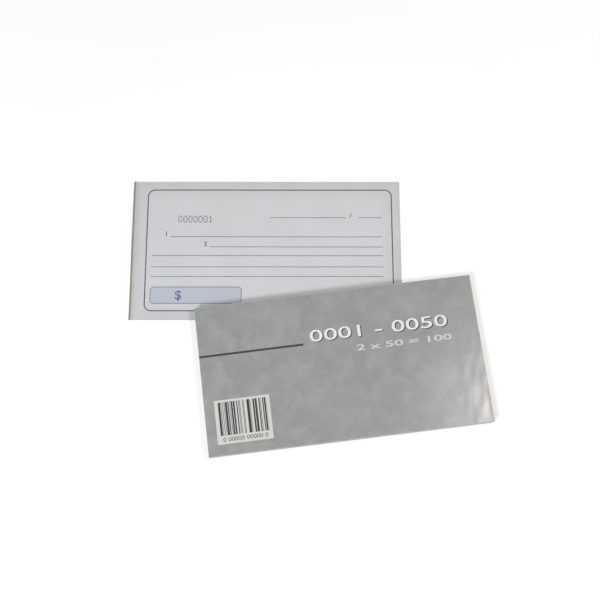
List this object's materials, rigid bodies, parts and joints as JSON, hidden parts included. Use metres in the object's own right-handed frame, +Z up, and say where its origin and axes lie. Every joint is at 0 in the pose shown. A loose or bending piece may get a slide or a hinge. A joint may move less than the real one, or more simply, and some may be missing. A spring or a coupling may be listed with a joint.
{
  "type": "duplicate receipt book",
  "caption": "Landscape duplicate receipt book: card cover wrapped round a gummed block of perforated originals over thin copies, cover and top leaves turn, one receipt lies loose under it.",
  "frame": {"origin": "bottom centre of the box round the closed book and its loose receipt, on the table", "axes": "+X from spine to fore edge, +Y from foot to head, +Z up out of the front cover"},
  "size_m": [0.2626, 0.2222, 0.0097],
  "materials": {
    "cover_card": "satin",
    "original_paper": "matte",
    "copy_paper": "matte",
    "padding_gum": "matte"
  },
  "bodies": {
    "book_block": {"wrap_cover": "cover_card", "spine_gum": "padding_gum", "original_bound_edges": "original_paper", "copy_bound_edges": "copy_paper", "lower_originals": "original_paper", "lower_copies": "copy_paper"},
    "front_cover": {"front_cover": "cover_card"},
    "copy_leaf_01": {"copy_leaf_01": "copy_paper"},
    "original_leaf_02": {"original_leaf_02": "original_paper"},
    "copy_leaf_02": {"copy_leaf_02": "copy_paper"},
    "original_leaf_03": {"original_leaf_03": "original_paper"},
    "copy_leaf_03": {"copy_leaf_03": "copy_paper"},
    "original_leaf_04": {"original_leaf_04": "original_paper"},
    "copy_leaf_04": {"copy_leaf_04": "copy_paper"},
    "original_leaf_05": {"original_leaf_05": "original_paper"},
    "copy_leaf_05": {"copy_leaf_05": "copy_paper"},
    "original_leaf_06": {"original_leaf_06": "original_paper"},
    "copy_leaf_06": {"copy_leaf_06": "copy_paper"},
    "original_leaf_07": {"original_leaf_07": "original_paper"},
    "copy_leaf_07": {"copy_leaf_07": "copy_paper"},
    "loose_receipt": {"loose_receipt": "original_paper"}
  },
  "joints": [
    {"name": "cover_hinge", "type": "hinge", "parent": "book_block", "child": "front_cover", "pos_m": [-0.07574, -0.05511, 0.00973], "axis": [0, -1, 0], "range_deg": [0, 179]},
    {"name": "copy_leaf_01_turn", "type": "hinge", "parent": "book_block", "child": "copy_leaf_01", "pos_m": [-0.07354, -0.05511, 0.00935], "axis": [0, -1, 0], "range_deg": [0, 159.31]},
    {"name": "original_leaf_02_turn", "type": "hinge", "parent": "book_block", "child": "original_leaf_02", "pos_m": [-0.07312, -0.05511, 0.00927], "axis": [0, -1, 0], "range_deg": [0, 154.48]},
    {"name": "copy_leaf_02_turn", "type": "hinge", "parent": "book_block", "child": "copy_leaf_02", "pos_m": [-0.0727, -0.05511, 0.00917], "axis": [0, -1, 0], "range_deg": [0, 149.64]},
    {"name": "original_leaf_03_turn", "type": "hinge", "parent": "book_block", "child": "original_leaf_03", "pos_m": [-0.07228, -0.05511, 0.00909], "axis": [0, -1, 0], "range_deg": [0, 144.81]},
    {"name": "copy_leaf_03_turn", "type": "hinge", "parent": "book_block", "child": "copy_leaf_03", "pos_m": [-0.07186, -0.05511, 0.00899], "axis": [0, -1, 0], "range_deg": [0, 139.98]},
    {"name": "original_leaf_04_turn", "type": "hinge", "parent": "book_block", "child": "original_leaf_04", "pos_m": [-0.07144, -0.05511, 0.00891], "axis": [0, -1, 0], "range_deg": [0, 135.15]},
    {"name": "copy_leaf_04_turn", "type": "hinge", "parent": "book_block", "child": "copy_leaf_04", "pos_m": [-0.07102, -0.05511, 0.00881], "axis": [0, -1, 0], "range_deg": [0, 130.31]},
    {"name": "original_leaf_05_turn", "type": "hinge", "parent": "book_block", "child": "original_leaf_05", "pos_m": [-0.0706, -0.05511, 0.00873], "axis": [0, -1, 0], "range_deg": [0, 125.48]},
    {"name": "copy_leaf_05_turn", "type": "hinge", "parent": "book_block", "child": "copy_leaf_05", "pos_m": [-0.07018, -0.05511, 0.00863], "axis": [0, -1, 0], "range_deg": [0, 120.65]},
    {"name": "original_leaf_06_turn", "type": "hinge", "parent": "book_block", "child": "original_leaf_06", "pos_m": [-0.06976, -0.05511, 0.00855], "axis": [0, -1, 0], "range_deg": [0, 115.81]},
    {"name": "copy_leaf_06_turn", "type": "hinge", "parent": "book_block", "child": "copy_leaf_06", "pos_m": [-0.06934, -0.05511, 0.00845], "axis": [0, -1, 0], "range_deg": [0, 110.98]},
    {"name": "original_leaf_07_turn", "type": "hinge", "parent": "book_block", "child": "original_leaf_07", "pos_m": [-0.06892, -0.05511, 0.00837], "axis": [0, -1, 0], "range_deg": [0, 106.15]},
    {"name": "copy_leaf_07_turn", "type": "hinge", "parent": "book_block", "child": "copy_leaf_07", "pos_m": [-0.0685, -0.05511, 0.00827], "axis": [0, -1, 0], "range_deg": [0, 101.31]},
    {"name": "receipt_slide", "type": "slide", "parent": "book_block", "child": "loose_receipt", "axis": [0.1236, 0.9923, 0], "range_m": [0, 0.06]}
  ],
  "couplings": [
    {"joint": "copy_leaf_01_turn", "follows": "cover_hinge", "ratio": 0.89},
    {"joint": "original_leaf_02_turn", "follows": "cover_hinge", "ratio": 0.863},
    {"joint": "copy_leaf_02_turn", "follows": "cover_hinge", "ratio": 0.836},
    {"joint": "original_leaf_03_turn", "follows": "cover_hinge", "ratio": 0.809},
    {"joint": "copy_leaf_03_turn", "follows": "cover_hinge", "ratio": 0.782},
    {"joint": "original_leaf_04_turn", "follows": "cover_hinge", "ratio": 0.755},
    {"joint": "copy_leaf_04_turn", "follows": "cover_hinge", "ratio": 0.728},
    {"joint": "original_leaf_05_turn", "follows": "cover_hinge", "ratio": 0.701},
    {"joint": "copy_leaf_05_turn", "follows": "cover_hinge", "ratio": 0.674},
    {"joint": "original_leaf_06_turn", "follows": "cover_hinge", "ratio": 0.647},
    {"joint": "copy_leaf_06_turn", "follows": "cover_hinge", "ratio": 0.62},
    {"joint": "original_leaf_07_turn", "follows": "cover_hinge", "ratio": 0.593},
    {"joint": "copy_leaf_07_turn", "follows": "cover_hinge", "ratio": 0.566}
  ]
}
